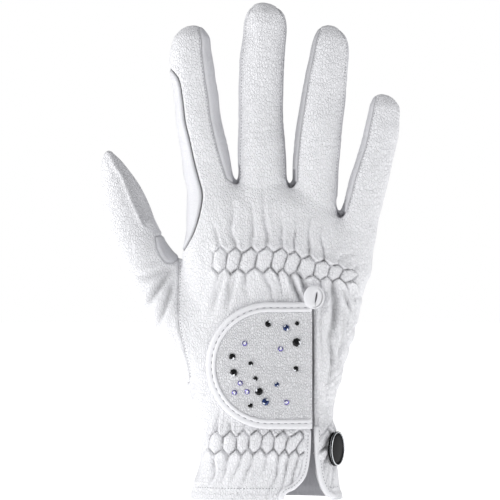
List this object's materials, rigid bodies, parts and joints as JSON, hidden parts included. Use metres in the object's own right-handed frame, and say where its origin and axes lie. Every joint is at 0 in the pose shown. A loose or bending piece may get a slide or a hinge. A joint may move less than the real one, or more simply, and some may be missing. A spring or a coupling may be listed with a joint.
{
  "type": "horse riding glove",
  "caption": "White leather riding glove for the right hand, filled as worn, with a gathered back, a closure flap set with stones and a badge on the cuff.",
  "frame": {"origin": "middle of the wrist opening, where the hand goes in and holds the glove", "axes": "+Z towards the fingertips, -Y out of the back of the hand, +X towards the little finger"},
  "size_m": [0.1475, 0.0504, 0.2452],
  "materials": {
    "grained_leather": "white grained synthetic leather, satin",
    "smooth_leather": "white smooth synthetic leather, satin",
    "flap_leather": "pale grey-white fine-grained leather, matt",
    "binding": "white smooth binding tape, soft gloss",
    "badge_steel": "polished steel",
    "badge_black": "black enamel, gloss, bare",
    "stone_jet": "black cut glass, gloss",
    "stone_blue": "blue cut glass, gloss",
    "stone_violet": "pale violet cut glass, gloss"
  },
  "bodies": {
    "root": {"back_panel": "grained_leather", "palm_panel": "smooth_leather", "fourchette_index_middle": "smooth_leather", "fourchette_middle_ring": "smooth_leather", "fourchette_ring_little": "smooth_leather", "thumb": "grained_leather", "thumb_gusset": "smooth_leather", "closure_flap": "flap_leather", "flap_binding": "binding", "pull_loop": "binding", "vent_binding_left": "binding", "vent_binding_right": "binding", "badge_base": "badge_steel", "badge_rim": "badge_steel", "badge_face": "badge_black", "stone_01": "stone_jet", "stone_02": "stone_blue", "stone_03": "stone_jet", "stone_04": "stone_jet", "stone_05": "stone_violet", "stone_06": "stone_violet", "stone_07": "stone_jet", "stone_08": "stone_jet", "stone_09": "stone_jet", "stone_10": "stone_jet", "stone_11": "stone_jet", "stone_12": "stone_violet", "stone_13": "stone_blue", "stone_14": "stone_violet", "stone_15": "stone_violet", "stone_16": "stone_jet", "stone_17": "stone_blue", "stone_18": "stone_jet", "stone_19": "stone_violet"}
  },
  "joints": []
}
